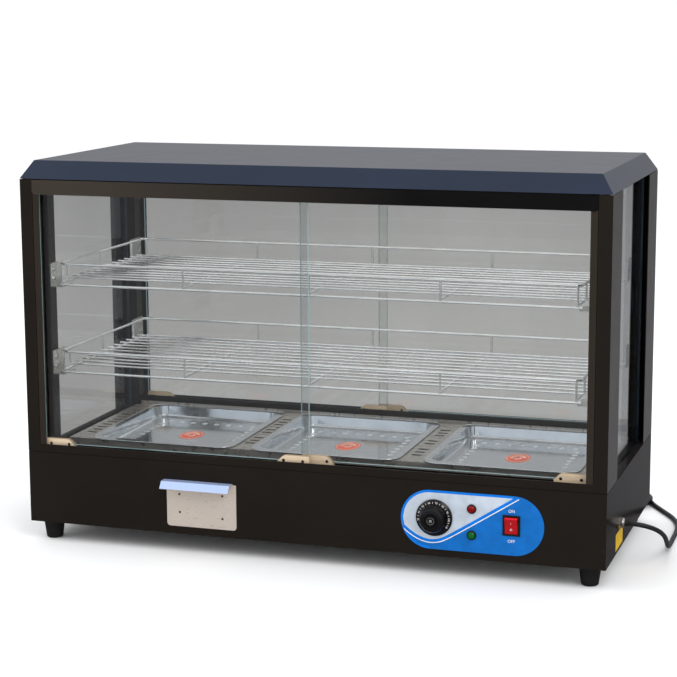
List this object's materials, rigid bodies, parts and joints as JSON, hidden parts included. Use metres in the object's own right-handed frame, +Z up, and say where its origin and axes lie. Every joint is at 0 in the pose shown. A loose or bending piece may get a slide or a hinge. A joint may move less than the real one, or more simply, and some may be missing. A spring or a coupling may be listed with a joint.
{
  "type": "food holding cabinet",
  "caption": "Heated glass display cabinet with sliding doors front and rear, wire shelves, hanging pans, a water drawer and a control panel.",
  "frame": {"origin": "centre of the bounding box of the cabinet without its power lead, on the surface it stands on", "axes": "+X along the front towards the power lead, -Y out of the front doors, +Z up"},
  "size_m": [0.9679, 0.55, 0.59],
  "materials": {
    "black_enamel": "satin black-brown baked enamel",
    "hood_enamel": "glossy black baked enamel, slightly rippled",
    "stainless": "bright brushed stainless sheet",
    "pan_steel": "polished pressed stainless",
    "chrome_wire": "chromed wire",
    "zinc": "zinc plated sheet",
    "screw_zinc": "zinc plated screw heads",
    "glass": "clear toughened glass with polished edges",
    "carrier_steel": "brushed stainless carriers",
    "wheel_nylon": "white nylon",
    "foot_rubber": "black moulded rubber",
    "label_film": "printed blue and silver label film",
    "knob_black": "black moulded plastic with white marks",
    "housing_black": "black moulded plastic",
    "thermostat_body": "phenolic and plated steel",
    "red_lens": "translucent red lens",
    "green_lens": "translucent green lens",
    "rocker_red": "red moulded plastic",
    "gland_nickel": "nickel plated brass",
    "element_steel": "heat-tinted steel tube",
    "cord_rubber": "black rubber sheath",
    "plug_black": "black moulded plug with bright blades"
  },
  "bodies": {
    "cabinet": {"base_front_panel": "black_enamel", "base_left_panel": "black_enamel", "base_right_panel": "black_enamel", "base_rear_panel": "black_enamel", "base_bottom_plate": "black_enamel", "base_top_frame": "black_enamel", "deck_plate": "stainless", "rubber_feet": "foot_rubber", "front_left_post": "black_enamel", "front_right_post": "black_enamel", "rear_left_post": "black_enamel", "rear_right_post": "black_enamel", "door_stiles": "black_enamel", "front_top_rail": "black_enamel", "rear_top_rail": "black_enamel", "front_track": "black_enamel", "rear_track": "black_enamel", "left_side_glass": "glass", "right_side_glass": "glass", "ceiling_panel": "black_enamel", "hood_cover": "hood_enamel", "shelf_brackets": "zinc", "screws": "screw_zinc", "thermostat": "thermostat_body", "red_lamp": "red_lens", "green_lamp": "green_lens", "rocker_housing": "housing_black", "control_label": "label_film", "heating_element": "element_steel", "cable_gland": "gland_nickel", "power_cord": "cord_rubber", "cord_coil": "cord_rubber", "power_plug": "plug_black"},
    "lower_shelf": {"lower_shelf_grid": "chrome_wire", "lower_shelf_guard": "chrome_wire"},
    "upper_shelf": {"upper_shelf_grid": "chrome_wire", "upper_shelf_guard": "chrome_wire"},
    "left_pan": {"left_pan": "pan_steel"},
    "middle_pan": {"middle_pan": "pan_steel"},
    "right_pan": {"right_pan": "pan_steel"},
    "water_drawer": {"drawer_front": "stainless", "drawer_tank": "stainless"},
    "knob": {"knob": "knob_black"},
    "rocker": {"rocker": "rocker_red"},
    "front_left_door": {"front_left_glass": "glass", "front_left_carriers": "carrier_steel"},
    "front_left_wheel_left": {"front_left_wheel_left": "wheel_nylon"},
    "front_left_wheel_right": {"front_left_wheel_right": "wheel_nylon"},
    "front_right_door": {"front_right_glass": "glass", "front_right_carriers": "carrier_steel"},
    "front_right_wheel_left": {"front_right_wheel_left": "wheel_nylon"},
    "front_right_wheel_right": {"front_right_wheel_right": "wheel_nylon"},
    "rear_left_door": {"rear_left_glass": "glass", "rear_left_carriers": "carrier_steel"},
    "rear_left_wheel_left": {"rear_left_wheel_left": "wheel_nylon"},
    "rear_left_wheel_right": {"rear_left_wheel_right": "wheel_nylon"},
    "rear_right_door": {"rear_right_glass": "glass", "rear_right_carriers": "carrier_steel"},
    "rear_right_wheel_left": {"rear_right_wheel_left": "wheel_nylon"},
    "rear_right_wheel_right": {"rear_right_wheel_right": "wheel_nylon"}
  },
  "joints": [
    {"name": "front_left_door_slide", "type": "slide", "parent": "cabinet", "child": "front_left_door", "axis": [1, 0, 0], "range_m": [0, 0.41]},
    {"name": "front_left_wheel_left_roll", "type": "hinge", "parent": "front_left_door", "child": "front_left_wheel_left", "pos_m": [-0.399, -0.1795, 0.1478], "axis": [0, 1, 0], "range_deg": [-5700, 5700]},
    {"name": "front_left_wheel_right_roll", "type": "hinge", "parent": "front_left_door", "child": "front_left_wheel_right", "pos_m": [-0.019, -0.1795, 0.1478], "axis": [0, 1, 0], "range_deg": [-5700, 5700]},
    {"name": "front_right_door_slide", "type": "slide", "parent": "cabinet", "child": "front_right_door", "axis": [1, 0, 0], "range_m": [-0.41, 0]},
    {"name": "front_right_wheel_left_roll", "type": "hinge", "parent": "front_right_door", "child": "front_right_wheel_left", "pos_m": [0.015, -0.1685, 0.1478], "axis": [0, 1, 0], "range_deg": [-5700, 5700]},
    {"name": "front_right_wheel_right_roll", "type": "hinge", "parent": "front_right_door", "child": "front_right_wheel_right", "pos_m": [0.395, -0.1685, 0.1478], "axis": [0, 1, 0], "range_deg": [-5700, 5700]},
    {"name": "rear_left_door_slide", "type": "slide", "parent": "cabinet", "child": "rear_left_door", "axis": [1, 0, 0], "range_m": [0, 0.4]},
    {"name": "rear_left_wheel_left_roll", "type": "hinge", "parent": "rear_left_door", "child": "rear_left_wheel_left", "pos_m": [-0.389, 0.1905, 0.1478], "axis": [0, 1, 0], "range_deg": [-5700, 5700]},
    {"name": "rear_left_wheel_right_roll", "type": "hinge", "parent": "rear_left_door", "child": "rear_left_wheel_right", "pos_m": [-0.009, 0.1905, 0.1478], "axis": [0, 1, 0], "range_deg": [-5700, 5700]},
    {"name": "rear_right_door_slide", "type": "slide", "parent": "cabinet", "child": "rear_right_door", "axis": [1, 0, 0], "range_m": [-0.41, 0]},
    {"name": "rear_right_wheel_left_roll", "type": "hinge", "parent": "rear_right_door", "child": "rear_right_wheel_left", "pos_m": [0.023, 0.2015, 0.1478], "axis": [0, 1, 0], "range_deg": [-5700, 5700]},
    {"name": "rear_right_wheel_right_roll", "type": "hinge", "parent": "rear_right_door", "child": "rear_right_wheel_right", "pos_m": [0.403, 0.2015, 0.1478], "axis": [0, 1, 0], "range_deg": [-5700, 5700]},
    {"name": "lower_shelf_lift", "type": "slide", "parent": "cabinet", "child": "lower_shelf", "axis": [0, 0, 1], "range_m": [0, 0.06]},
    {"name": "upper_shelf_lift", "type": "slide", "parent": "cabinet", "child": "upper_shelf", "axis": [0, 0, 1], "range_m": [0, 0.06]},
    {"name": "left_pan_lift", "type": "slide", "parent": "cabinet", "child": "left_pan", "axis": [0, 0, 1], "range_m": [0, 0.08]},
    {"name": "middle_pan_lift", "type": "slide", "parent": "cabinet", "child": "middle_pan", "axis": [0, 0, 1], "range_m": [0, 0.08]},
    {"name": "right_pan_lift", "type": "slide", "parent": "cabinet", "child": "right_pan", "axis": [0, 0, 1], "range_m": [0, 0.08]},
    {"name": "water_drawer_slide", "type": "slide", "parent": "cabinet", "child": "water_drawer", "axis": [0, -1, 0], "range_m": [0, 0.2]},
    {"name": "knob_turn", "type": "hinge", "parent": "cabinet", "child": "knob", "pos_m": [0.1995, -0.19, 0.088], "axis": [0, -1, 0], "range_deg": [-270, 0]},
    {"name": "rocker_tilt", "type": "hinge", "parent": "cabinet", "child": "rocker", "pos_m": [0.3135, -0.1897, 0.085], "axis": [1, 0, 0], "range_deg": [-24, 0]}
  ],
  "couplings": [
    {"joint": "front_left_wheel_left_roll", "follows": "front_left_door_slide", "rad_per_m": 217.39},
    {"joint": "front_left_wheel_right_roll", "follows": "front_left_door_slide", "rad_per_m": 217.39},
    {"joint": "front_right_wheel_left_roll", "follows": "front_right_door_slide", "rad_per_m": 217.39},
    {"joint": "front_right_wheel_right_roll", "follows": "front_right_door_slide", "rad_per_m": 217.39},
    {"joint": "rear_left_wheel_left_roll", "follows": "rear_left_door_slide", "rad_per_m": 217.39},
    {"joint": "rear_left_wheel_right_roll", "follows": "rear_left_door_slide", "rad_per_m": 217.39},
    {"joint": "rear_right_wheel_left_roll", "follows": "rear_right_door_slide", "rad_per_m": 217.39},
    {"joint": "rear_right_wheel_right_roll", "follows": "rear_right_door_slide", "rad_per_m": 217.39}
  ]
}
